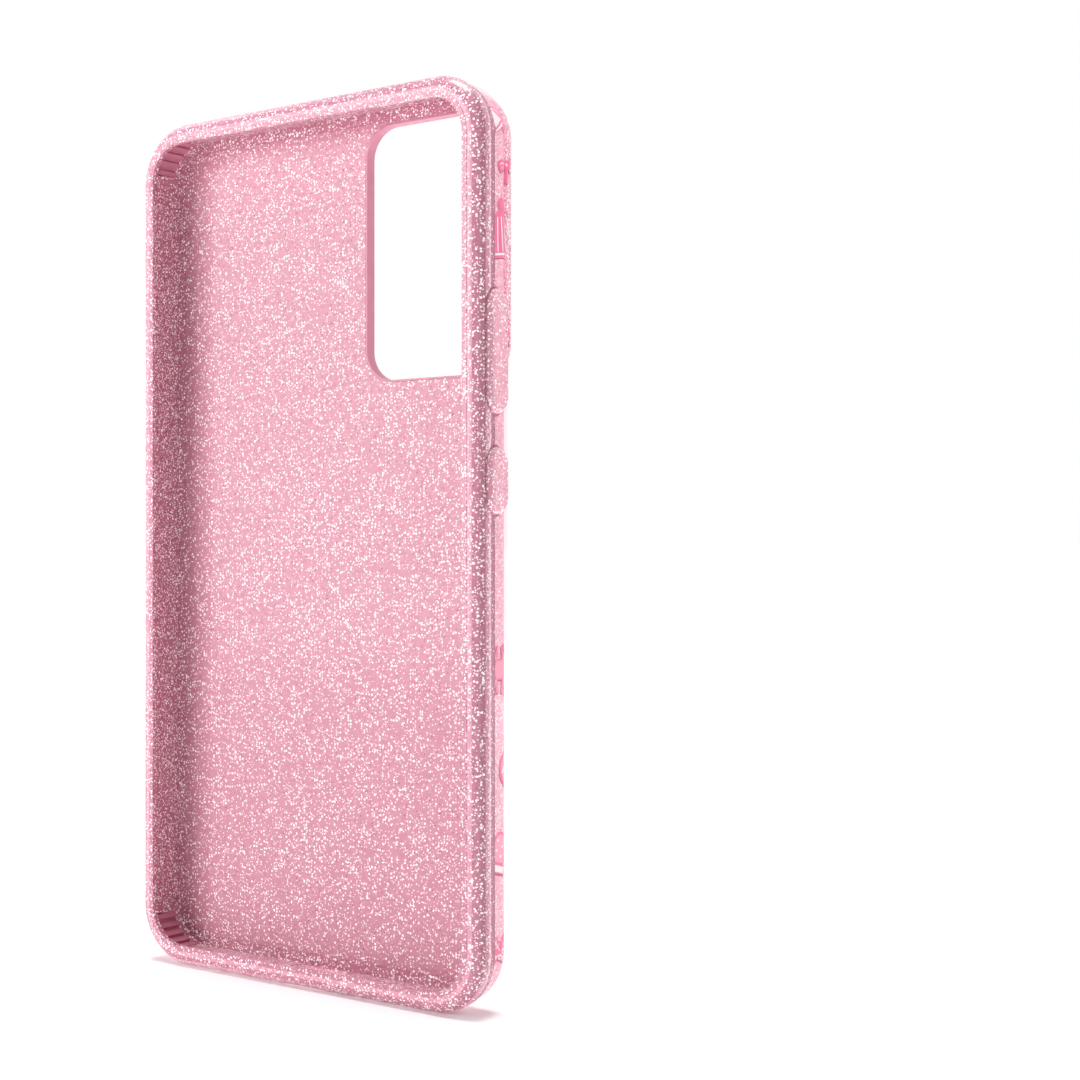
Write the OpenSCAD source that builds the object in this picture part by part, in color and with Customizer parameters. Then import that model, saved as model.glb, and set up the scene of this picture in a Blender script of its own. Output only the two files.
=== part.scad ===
// Protective phone case: soft glitter frame, stiff back, printed layer and clear hard shell.
// It stands on its bottom edge: +Z to the top, the screen faces -Y and the keys are on +X.
// The origin is at the middle of the bottom edge. All sizes are in millimetres.

/* [Phone that the case fits] */
// Width of the phone
phone_w = 75.8; // [72:0.1:80]
// Height of the phone
phone_h = 157.4; // [150:0.1:168]
// Thickness of the phone
phone_t = 7.6; // [7.4:0.1:9]
// Corner radius of the phone
phone_corner_r = 8.4; // [8:0.1:9]
// Clearance round the phone, on each side
phone_gap = 0.1; // [0.05:0.05:0.2]
// Clearance between the phone and the lip, front to back
phone_play = 0.15; // [0.1:0.05:0.3]

/* [Frame] */
// Thickness of the side wall at the crest
wall = 2.5; // [2.4:0.1:3]
// How far the front lip reaches over the phone
lip_reach = 1.45; // [1.2:0.05:1.6]
// Height of the lip above the phone's glass
lip_h = 1; // [0.8:0.1:1.4]
// Width of the flat on the lip
lip_flat = 0.95; // [0.8:0.05:1.1]
// Step down from the lip's flat to the bevel
lip_step = 0.15; // [0.1:0.05:0.3]
// Distance from the front to the crest
crest_depth = 2.6; // [2.4:0.1:2.8]
// How far the crest stands out from the side
crest_h = 0.3; // [0.2:0.05:0.4]
// Distance from the front to the edge of the clear shell
skirt_depth = 4.6; // [4.4:0.1:4.8]
// Radius of the edge round the back
back_r = 2.8; // [2.6:0.1:3]
// Width of the ledge that the back panel sits on
ledge_w = 2; // [1.8:0.1:2.2]

/* [Layers of the back] */
// Thickness of the stiff back panel
panel_t = 0.95; // [0.9:0.05:1.2]
// Thickness of the glitter film
film_t = 0.1; // [0.1:0.05:0.2]
// Thickness of the layer that holds the print
print_t = 0.1; // [0.1:0.05:0.2]
// Thickness of the clear shell
clear_t = 0.5; // [0.4:0.05:0.6]
// Gap between layers whose curved faces lie on each other
layer_gap = 0.05; // [0.03:0.01:0.06]

/* [Camera opening] */
// Width of the camera opening
cam_w = 26.5; // [24:0.5:28]
// Height of the camera opening
cam_h = 47; // [40:0.5:50]
// Distance from the opening's edge to the case's corner axis
cam_reach = 6.1; // [5.8:0.1:6.3]
// Radius of the opening's other three corners
cam_r = 6; // [4:0.5:6]
// Width of the rim
rim_w = 3.7; // [3.2:0.1:3.8]
// How far the rim stands proud of the back
rim_h = 1.1; // [0.8:0.1:1.5]
// Wall of the liner in the opening
liner_t = 0.4; // [0.3:0.05:0.5]

/* [Keys] */
// Width of the key pads, front to back
key_w = 6; // [5.5:0.1:6.2]
// Length of the volume pad
volume_len = 21.4; // [18:0.1:24]
// Distance from the case's top to the middle of the volume pad
volume_drop = 48.2; // [46:0.1:50]
// Length of the power pad
power_len = 11.5; // [10:0.1:13]
// Distance from the case's top to the middle of the power pad
power_drop = 70.4; // [68:0.1:74]
// How far the pads stand proud of the side
key_proud = 0.8; // [0.6:0.1:1]
// Chamfer round a pad's face
key_chamfer = 0.6; // [0.4:0.1:0.8]
// Gap between a pad and its window, which the web fills
web_w = 0.55; // [0.5:0.05:0.6]
// Thickness of the web
web_t = 0.5; // [0.4:0.05:0.6]
// Clearance on each side of the web
web_gap = 0.08; // [0.06:0.01:0.1]
// Distance from the middle of the volume pad to each plunger
plunger_offset = 6.5; // [5:0.1:8]
// Height of the plungers
plunger_h = 0.5; // [0.4:0.05:0.55]

/* [Openings in the ends] */
// Length of the charging port
port_len = 13; // [12:0.5:14]
// Width of the charging port, front to back
port_w = 6.2; // [5.5:0.1:6.4]
// Length of the speaker slot
speaker_len = 15; // [12:0.5:18]
// Distance from the middle to the speaker slot's middle
speaker_x = 20; // [16:0.5:24]
// Width of the speaker slot and the microphone slots
slot_w = 1.9; // [1.6:0.1:2.2]

/* [Hidden] */
$fn = 96;

glitter_pink = "#f2afc4";
soft_pink = "#e79ab4";
hot_pink = "#ff8fb8";
ink_white = "#fffafc";

// Room for the phone
bay_r = phone_corner_r + phone_gap;
bay_h = phone_h + 2 * phone_gap;
bay_d = phone_t + phone_play;

// Outside of the case
case_w = phone_w + 2 * phone_gap + 2 * wall;
case_h = bay_h + 2 * wall;
case_t = lip_h + bay_d + panel_t + film_t + print_t + clear_t;
case_r = bay_r + wall;
axis_x = case_w / 2 - case_r;
run_x = 2 * axis_x;
run_z = case_h - 2 * case_r;

// Depths along Y, from front to back
y_front = -case_t / 2;
y_lip = y_front + lip_h;
y_bevel = y_front + lip_step;
y_crest = y_front + crest_depth;
y_skirt = y_front + skirt_depth;
y_bay = y_lip + bay_d;
y_film = y_bay + panel_t;
y_print = y_film + film_t;
y_clear = y_print + print_t;
y_back = y_clear + clear_t;
y_round = y_back - back_r;

// Distances from the corner axis outwards
u_open = bay_r - lip_reach;
u_lip = u_open + lip_flat;
u_side = case_r - crest_h;
u_skirt = u_side - clear_t;
u_seat = u_skirt - layer_gap;
u_round = u_side - back_r;
u_ledge = bay_r - ledge_w;
tongue_w = 0.8;
tongue_t = 0.4;
u_tongue = u_ledge + tongue_w;

// The bevel's arc leaves the lip square to the front and ends at the crest
bevel_w = case_r - u_lip;
bevel_h = y_crest - y_bevel;
bevel_r = (bevel_w * bevel_w + bevel_h * bevel_h) / (2 * bevel_h);
// The hollow behind the crest runs out into the side
hollow_l = y_skirt - y_crest;
hollow_r = (crest_h * crest_h + hollow_l * hollow_l) / (2 * crest_h);
crest_overlap = 0.2;

// Camera opening
cam_x1 = axis_x + cam_reach;
cam_x0 = cam_x1 - cam_w;
cam_z1 = case_h - case_r + cam_reach;
cam_z0 = cam_z1 - cam_h;
rim_edge_r = 0.55;
rim_steps = 4;

// Keys
x_side = axis_x + u_side;
x_bay = axis_x + bay_r;
pad_inset = 0.9;
web_inset = 0.1;
x_pad = x_bay + pad_inset;
x_web = x_pad + web_inset;
pad_h = x_side + key_proud - x_pad;
z_volume = case_h - volume_drop;
z_power = case_h - power_drop;
window_w = key_w + 2 * web_w;
plunger_r = 1.2;

// Corner cushions
cushion_y0 = y_lip + 1;
cushion_y1 = y_bay - 1;
cushion_depth = 0.9;
cushion_back_t = 0.3;
cushion_spare = 1;
cushion_from = 15;
cushion_angle = 60;
cushion_ribs = 5;
rib_angle = 6;
rib_inset = 1;

// Side mark
mark_count = 9;
mark_pitch = 2.9;
mark_z0 = 15.5;
mark_w = 1.5;
mark_h = 0.15;
mark_gap = 0.01;

over = 1;

// ---- Frames of reference ----

// Puts a corner's own XY plane on the case's XZ plane, at one of its four corner axes.
// The angle from 0 to 90 degrees then runs over that corner.
module at_corner(right, top) {
    translate([right ? axis_x : -axis_x, 0, top ? case_h - case_r : case_r])
        rotate([-90, 0, 0])
            rotate([0, 0, right ? (top ? 270 : 0) : (top ? 180 : 90)])
                children();
}

// Sweeps a profile, drawn outwards from the corner axis and from front to back, round the case
module swept() {
    for (right = [false, true], top = [false, true])
        at_corner(right, top)
            rotate_extrude(angle = 90)
                children();
    for (side = [0, 1])
        mirror([side, 0, 0])
            translate([axis_x, 0, case_r])
                linear_extrude(height = run_z)
                    children();
    for (end = [0, 1])
        translate([0, 0, end * case_h])
            mirror([0, 0, end])
                translate([-axis_x, 0, case_r])
                    rotate([0, 90, 0])
                        linear_extrude(height = run_x)
                            children();
}

// Flat plate with the case's corners, from one depth to another
module slab(u, y0, y1) {
    swept()
        translate([0, y0])
            square([u, y1 - y0]);
    translate([-axis_x, y0, case_r])
        cube([run_x, y1 - y0, run_z]);
}

// Stands a shape drawn on the back, in X and Z, between two depths
module on_back(y0, y1) {
    translate([0, y1, 0])
        rotate([90, 0, 0])
            linear_extrude(height = y1 - y0)
                children();
}

// Stands a shape drawn on the side, in Y and Z, between two distances from the middle
module on_side(x0, x1) {
    translate([x0, 0, 0])
        rotate([90, 0, 90])
            linear_extrude(height = x1 - x0)
                children();
}

// Bar with half-round ends, whose profile runs from the middle outwards and up
module long_bar(len, wid) {
    straight = len - wid;
    for (end = [0, 1])
        mirror([0, end, 0])
            translate([0, straight / 2, 0])
                rotate_extrude(angle = 180)
                    children();
    for (side = [0, 1])
        mirror([side, 0, 0])
            translate([0, straight / 2, 0])
                rotate([90, 0, 0])
                    linear_extrude(height = straight)
                        children();
}

// Plain long bar that stands out along +X, with its length along Z
module side_bar(len, wid, x0, x1, z) {
    translate([x0, 0, z])
        rotate([90, 0, 90])
            long_bar(len, wid)
                square([wid / 2, x1 - x0]);
}

// Plain long bar that stands up along +Z, with its length along X
module end_bar(len, wid, x, y, z0, z1) {
    translate([x, y, z0])
        rotate([0, 0, 90])
            long_bar(len, wid)
                square([wid / 2, z1 - z0]);
}

// Sweeps a profile, drawn outwards from the opening's edge, round the camera opening
module round_camera() {
    for (right = [0, 1], top = [0, 1]) {
        r = right * top == 1 ? cam_reach : cam_r;
        translate([right == 1 ? cam_x1 - r : cam_x0 + r, 0, top == 1 ? cam_z1 - r : cam_z0 + r])
            rotate([-90, 0, 0])
                rotate([0, 0, right == 1 ? (top == 1 ? 270 : 0) : (top == 1 ? 180 : 90)])
                    rotate_extrude(angle = 90)
                        translate([r, 0])
                            children();
    }
    translate([cam_x0, 0, cam_z0 + cam_r])
        mirror([1, 0, 0])
            linear_extrude(height = cam_h - 2 * cam_r)
                children();
    translate([cam_x1, 0, cam_z0 + cam_r])
        linear_extrude(height = cam_h - cam_r - cam_reach)
            children();
    translate([cam_x0 + cam_r, 0, cam_z0])
        mirror([0, 0, 1])
            translate([cam_w - 2 * cam_r, 0, 0])
                rotate([0, -90, 0])
                    linear_extrude(height = cam_w - 2 * cam_r)
                        children();
    translate([cam_x1 - cam_reach, 0, cam_z1])
        rotate([0, -90, 0])
            linear_extrude(height = cam_w - cam_r - cam_reach)
                children();
}

// Solid with the opening's outline, grown outwards, between two depths
module camera_block(grow, y0, y1) {
    for (right = [0, 1], top = [0, 1]) {
        r = right * top == 1 ? cam_reach : cam_r;
        translate([right == 1 ? cam_x1 - r : cam_x0 + r, y0, top == 1 ? cam_z1 - r : cam_z0 + r])
            rotate([-90, 0, 0])
                cylinder(h = y1 - y0, r = r + grow);
    }
    translate([cam_x0 + cam_r, y0, cam_z0 - grow])
        cube([cam_w - cam_r - cam_reach, y1 - y0, cam_h + 2 * grow]);
    translate([cam_x0 - grow, y0, cam_z0 + cam_r])
        cube([cam_w + 2 * grow, y1 - y0, cam_h - cam_r - cam_reach]);
    translate([cam_x1 - cam_reach - over, y0, cam_z0 - grow])
        cube([cam_reach - cam_r + over, y1 - y0, cam_h - cam_reach]);
    translate([cam_x0 - grow, y0, cam_z1 - cam_reach - over])
        cube([cam_w - cam_reach, y1 - y0, cam_reach - cam_r + over]);
}

// ---- Openings that several pieces share ----

module key_windows(grow, x0, x1) {
    side_bar(volume_len + 2 * web_w + 2 * grow, window_w + 2 * grow, x0, x1, z_volume);
    side_bar(power_len + 2 * web_w + 2 * grow, window_w + 2 * grow, x0, x1, z_power);
}

module end_openings() {
    end_bar(port_len, port_w, 0, 0, -over, wall + over);
    end_bar(speaker_len, slot_w, speaker_x, 0, -over, wall + over);
    end_bar(2 * slot_w, slot_w, -speaker_x / 2, 0, -over, wall + over);
    end_bar(2 * slot_w, slot_w, -speaker_x / 2, 0, case_h - wall - over, case_h + over);
}

// ---- Frame ----

// Bevel, crest and hollow, with the outer face moved out by grow
module front_profile(grow) {
    difference() {
        union() {
            intersection() {
                translate([u_lip, y_bevel + bevel_r])
                    circle(r = bevel_r + grow);
                translate([u_lip, y_bevel - grow])
                    square([bevel_w + grow + over, y_skirt - y_bevel + grow]);
            }
            translate([bay_r, y_crest + crest_overlap])
                square([case_r + grow - bay_r, hollow_l - crest_overlap]);
        }
        translate([u_side + hollow_r, y_skirt])
            circle(r = hollow_r - grow);
    }
}

// The whole wall: lip, bevel, seat of the clear shell, round back edge and ledge for the panel
module frame_profile() {
    difference() {
        union() {
            translate([u_open, y_front])
                square([lip_flat, lip_h]);
            front_profile(0);
            translate([bay_r, y_skirt])
                square([u_seat - bay_r, y_round - y_skirt]);
            intersection() {
                translate([u_round, y_round])
                    circle(r = u_seat - u_round);
                translate([u_round, y_round])
                    square(back_r);
            }
            translate([u_ledge, y_bay])
                square([u_round - u_ledge, panel_t - tongue_t]);
            translate([u_tongue, y_bay + panel_t - tongue_t])
                square([u_round - u_tongue, y_round + u_seat - u_round - y_bay - panel_t + tongue_t]);
        }
        translate([0, y_lip])
            square([bay_r, bay_d]);
    }
}

module cushion_pocket() {
    rotate([0, 0, cushion_from])
        rotate_extrude(angle = cushion_angle)
            translate([bay_r - over / 2, cushion_y0])
                square([cushion_depth + over / 2, cushion_y1 - cushion_y0]);
}

module bumper_frame() {
    color(glitter_pink)
        difference() {
            swept() frame_profile();
            key_windows(0, x_bay - over, x_side + over);
            end_openings();
            for (right = [false, true], top = [false, true])
                at_corner(right, top)
                    cushion_pocket();
        }
}

// Soft insert for a corner: a thin curved back with ribs towards the phone
module corner_cushion(right, top) {
    back_angle = cushion_angle - 2 * cushion_spare;
    rib_step = (back_angle - 2 * rib_inset - rib_angle) / (cushion_ribs - 1);
    high = cushion_y1 - cushion_y0 - 2 * layer_gap;
    color(soft_pink)
        at_corner(right, top) {
            rotate([0, 0, cushion_from + cushion_spare])
                rotate_extrude(angle = back_angle)
                    translate([bay_r + cushion_depth - layer_gap - cushion_back_t, cushion_y0 + layer_gap])
                        square([cushion_back_t, high]);
            for (rib = [0 : cushion_ribs - 1])
                rotate([0, 0, cushion_from + cushion_spare + rib_inset + rib * rib_step])
                    rotate_extrude(angle = rib_angle)
                        translate([bay_r + layer_gap, cushion_y0 + layer_gap])
                            square([cushion_depth - cushion_back_t, high]);
        }
}

// ---- Back ----

module back_panel() {
    color(glitter_pink)
        difference() {
            union() {
                slab(u_ledge - layer_gap, y_bay, y_film);
                slab(u_tongue - layer_gap, y_film - tongue_t, y_film);
            }
            camera_block(0, y_bay - over, y_back);
        }
}

module glitter_film() {
    color(glitter_pink)
        difference() {
            slab(u_tongue - layer_gap, y_film, y_print);
            camera_block(0, y_film - over, y_back);
        }
}

module clear_shell() {
    color(ink_white, 0.35)
        difference() {
            union() {
                swept() {
                    translate([u_skirt, y_skirt + layer_gap])
                        square([clear_t, y_round - y_skirt - layer_gap]);
                    difference() {
                        intersection() {
                            translate([u_round, y_round])
                                circle(r = back_r);
                            translate([u_round, y_round])
                                square(back_r);
                        }
                        translate([u_round, y_round])
                            circle(r = back_r - clear_t);
                    }
                }
                slab(u_round, y_clear, y_back);
            }
            key_windows(layer_gap, x_side - over, x_side + over);
            end_openings();
            camera_block(rim_w + layer_gap, y_skirt, y_back + over);
        }
}

// Everything inside the clear shell, as one block that the rim is cut to sit on
module body_block() {
    block_r = back_r - clear_t - layer_gap / 2;
    swept() {
        translate([0, y_skirt])
            square([u_round + block_r, y_round - y_skirt]);
        intersection() {
            translate([u_round, y_round])
                circle(r = block_r);
            translate([u_round, y_round])
                square(back_r);
        }
        translate([0, y_round])
            square([u_round, block_r]);
    }
    translate([-axis_x, y_skirt, case_r])
        cube([run_x, y_round + block_r - y_skirt, run_z]);
}

// Points of an arc, for a rounded corner of an outline
function arc_points(centre, r, from, to, steps) =
    [for (i = [0 : steps])
        let (angle = from + (to - from) * i / steps)
            centre + r * [cos(angle), sin(angle)]];

// Wall with a rounded top, which runs outwards from the opening's edge
module camera_rim() {
    shoulder = y_back + rim_h - rim_edge_r;
    outline = concat([[0, y_round], [rim_w, y_round]],
                     arc_points([rim_w - rim_edge_r, shoulder], rim_edge_r, 0, 90, rim_steps),
                     arc_points([rim_edge_r, shoulder], rim_edge_r, 90, 180, rim_steps));
    color(glitter_pink)
        difference() {
            round_camera() polygon(outline);
            body_block();
        }
}

module camera_liner() {
    color(soft_pink)
        round_camera()
            translate([-liner_t, y_bay])
                square([liner_t - layer_gap, y_back + rim_h - rim_edge_r - y_bay]);
}

// ---- Print ----

module snowflake(size) {
    arm = size / 2;
    bar = size * 0.09;
    circle(r = arm * 0.34, $fn = 6);
    for (turn = [0 : 60 : 300])
        rotate(turn) {
            translate([0, -bar / 2])
                square([arm, bar]);
            for (lean = [-45, 45])
                translate([arm * 0.62, 0])
                    rotate(lean)
                        translate([0, -bar / 2])
                            square([arm * 0.34, bar]);
        }
}

module bow(size) {
    for (side = [0, 1])
        mirror([side, 0])
            polygon([[0, 0], [size / 2, size * 0.28], [size / 2, -size * 0.2]]);
    circle(r = size * 0.12);
}

module bell(size) {
    translate([0, -size * 0.35])
        circle(r = size * 0.1);
    translate([0, size * 0.12])
        circle(r = size * 0.24);
    polygon([[-size * 0.24, size * 0.12], [size * 0.24, size * 0.12],
             [size * 0.4, -size * 0.32], [-size * 0.4, -size * 0.32]]);
}

module mitten(size) {
    translate([0, size * 0.15])
        circle(r = size * 0.26);
    translate([-size * 0.26, -size * 0.3])
        square([size * 0.52, size * 0.45]);
    translate([size * 0.32, -size * 0.02])
        circle(r = size * 0.13);
}

// Middle, size and turn of each motif on the back
back_snowflakes = [[-25, 118, 15, 10], [-2, 92, 12, 0], [24, 66, 15, 20], [-18, 44, 13, 5],
                   [6, 20, 14, 25], [-24, 148, 11, 0]];
back_bows = [[-8, 136, 10, 0], [26, 92, 9, -15], [-26, 80, 10, 15], [26, 30, 9, 10]];
back_bells = [[-8, 128, 11, 0], [26, 84, 10, -15], [-26, 71, 11, 15], [26, 21, 10, 10]];
back_mittens = [[-26, 20, 11, -20], [2, 62, 11, 20], [-6, 152, 9, 30]];

module placed(spots) {
    for (spot = spots)
        translate([spot[0], spot[1]])
            rotate(spot[3])
                let ($size = spot[2])
                    children();
}

module print_pink() {
    color(hot_pink) {
        on_back(y_print, y_clear - layer_gap) {
            placed(back_snowflakes) snowflake($size);
            placed(back_bows) bow($size);
        }
    }
}

module print_white() {
    color(ink_white) {
        on_back(y_print, y_clear - layer_gap) {
            placed(back_bells) bell($size);
            placed(back_mittens) mitten($size);
        }
    }
}

// ---- Side mark ----

module side_mark() {
    color(soft_pink)
        intersection() {
            mirror([1, 0, 0])
                on_side(axis_x, case_w / 2 + over)
                    for (i = [0 : mark_count - 1])
                        translate([y_crest, mark_z0 + i * mark_pitch])
                            if (i % 2 == 0)
                                rotate(45)
                                    square(mark_w, center = true);
                            else
                                circle(r = mark_w * 0.3);
            mirror([1, 0, 0])
                translate([axis_x, 0, case_r])
                    linear_extrude(height = mark_count * mark_pitch + 2 * over)
                        difference() {
                            front_profile(mark_h);
                            front_profile(mark_gap);
                        }
        }
}

// ---- Keys ----

module key_pad(len, z) {
    color(glitter_pink)
        translate([x_pad, 0, z])
            rotate([90, 0, 90])
                long_bar(len, key_w)
                    polygon([[0, 0], [key_w / 2, 0], [key_w / 2, pad_h - key_chamfer],
                             [key_w / 2 - key_chamfer, pad_h], [0, pad_h]]);
}

module key_web(len, z) {
    color(soft_pink)
        difference() {
            side_bar(len + 2 * web_w - web_gap, window_w - web_gap, x_web, x_web + web_t, z);
            side_bar(len + 2 * web_gap, key_w + 2 * web_gap, x_pad - over, x_side + over, z);
        }
}

module key_plunger(z) {
    color(soft_pink)
        translate([x_pad - plunger_h, 0, z])
            rotate([0, 90, 0])
                cylinder(h = plunger_h, r = plunger_r);
}

module volume_key() { key_pad(volume_len, z_volume); }
module power_key() { key_pad(power_len, z_power); }
module volume_web() { key_web(volume_len, z_volume); }
module power_web() { key_web(power_len, z_power); }

bumper_frame();
back_panel();
glitter_film();
print_pink();
print_white();
clear_shell();
camera_rim();
camera_liner();
side_mark();
corner_cushion(false, true);  // corner_cushion_top_left
corner_cushion(true, true);  // corner_cushion_top_right
corner_cushion(false, false);  // corner_cushion_bottom_left
corner_cushion(true, false);  // corner_cushion_bottom_right
volume_key();
volume_web();
key_plunger(z_volume + plunger_offset);  // volume_up_plunger
key_plunger(z_volume - plunger_offset);  // volume_down_plunger
power_key();
power_web();
key_plunger(z_power);  // power_plunger
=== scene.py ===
"""Looks of the phone case: glitter plastic, wrapped winter print, key webs, camera and studio."""

import math

import bpy
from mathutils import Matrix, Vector
from mathutils.geometry import delaunay_2d_cdt


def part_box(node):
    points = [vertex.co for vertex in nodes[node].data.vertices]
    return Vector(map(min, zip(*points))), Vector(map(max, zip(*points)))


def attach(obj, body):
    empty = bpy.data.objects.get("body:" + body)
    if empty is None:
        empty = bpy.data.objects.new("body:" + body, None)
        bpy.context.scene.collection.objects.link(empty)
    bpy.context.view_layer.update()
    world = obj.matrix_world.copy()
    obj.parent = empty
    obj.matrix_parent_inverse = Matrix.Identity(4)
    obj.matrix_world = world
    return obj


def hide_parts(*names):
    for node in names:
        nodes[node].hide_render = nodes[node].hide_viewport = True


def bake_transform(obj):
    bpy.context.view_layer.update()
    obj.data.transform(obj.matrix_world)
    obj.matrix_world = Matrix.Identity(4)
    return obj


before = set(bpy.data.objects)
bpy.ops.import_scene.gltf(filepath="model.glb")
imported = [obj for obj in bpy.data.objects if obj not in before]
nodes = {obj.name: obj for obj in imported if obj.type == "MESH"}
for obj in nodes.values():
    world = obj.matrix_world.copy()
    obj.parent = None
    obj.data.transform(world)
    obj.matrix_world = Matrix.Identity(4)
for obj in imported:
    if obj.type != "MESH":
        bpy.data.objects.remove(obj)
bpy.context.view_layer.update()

MM = 0.001

# ---- Dimensions, from the frame ----

frame_lo, frame_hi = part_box("bumper_frame")
shell_lo, shell_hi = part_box("clear_shell")
CASE_H = frame_hi.z
MID_Z = CASE_H / 2
Y_FRONT = frame_lo.y
Y_BACK = shell_hi.y
Y_SKIRT = shell_lo.y
CORNER_R = 11.0 * MM  # outside corner of the case
AXIS_X = frame_hi.x - CORNER_R  # corner axes, where the outline's arcs have their centres
AXIS_Z0, AXIS_Z1 = CORNER_R, CASE_H - CORNER_R
BACK_R = 2.8 * MM  # radius of the edge round the back
SHELL_T = 0.5 * MM
U_SIDE = shell_hi.x - AXIS_X
U_ROUND = U_SIDE - BACK_R  # flat back ends here, counted from the corner axes
Y_ROUND = Y_BACK - BACK_R
PRINT_R = BACK_R - SHELL_T  # the print lies just under this radius
# Depths at which the painted shade before the crest, the painted highlight on the crest, and the painted
# shade in the groove behind it begin
SHADE_Y0, RIDGE_Y0, GROOVE_Y0 = -3.95 * MM, -3.35 * MM, -2.1 * MM
# Distances in from the side: outer face of the frame, frame beyond the bay, outer step of the lip
FACE_IN, BAY_IN, LIP_IN = 0.9 * MM, 2.1 * MM, 3.1 * MM
KEY_SHADE_Y = (-2.9 * MM, -1.0 * MM)  # depths between which a key's shade towards the front fades out
# Glitter: one flake at most lies in each cell of these sizes
BIG_CELL, SMALL_CELL, DARK_CELL = 0.62 * MM, 0.37 * MM, 0.56 * MM
DARK_SHARE = 0.13  # of the cells

# ---- Colours, linear ----

PINK = (0.58, 0.225, 0.31)
PINK_DEEP = (0.42, 0.115, 0.19)
HOT = (0.84, 0.145, 0.325)
PALE = (0.90, 0.36, 0.47)
WHITE = (0.90, 0.86, 0.87)
MAUVE = (0.32, 0.09, 0.145)
# Painted shade, laid before the frame's crest, in the groove behind it and on the keys' fronts
PAINTED_SHADE = (0.36, 0.105, 0.165)
FILM = (0.82, 0.36, 0.46)
FILM_DEEP = (0.62, 0.21, 0.30)
# Painted highlight along the frame's crest
PAINTED_CREST_LIGHT = (0.86, 0.40, 0.51)
SOFT = (0.62, 0.24, 0.33)


# ---- Materials ----


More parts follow.
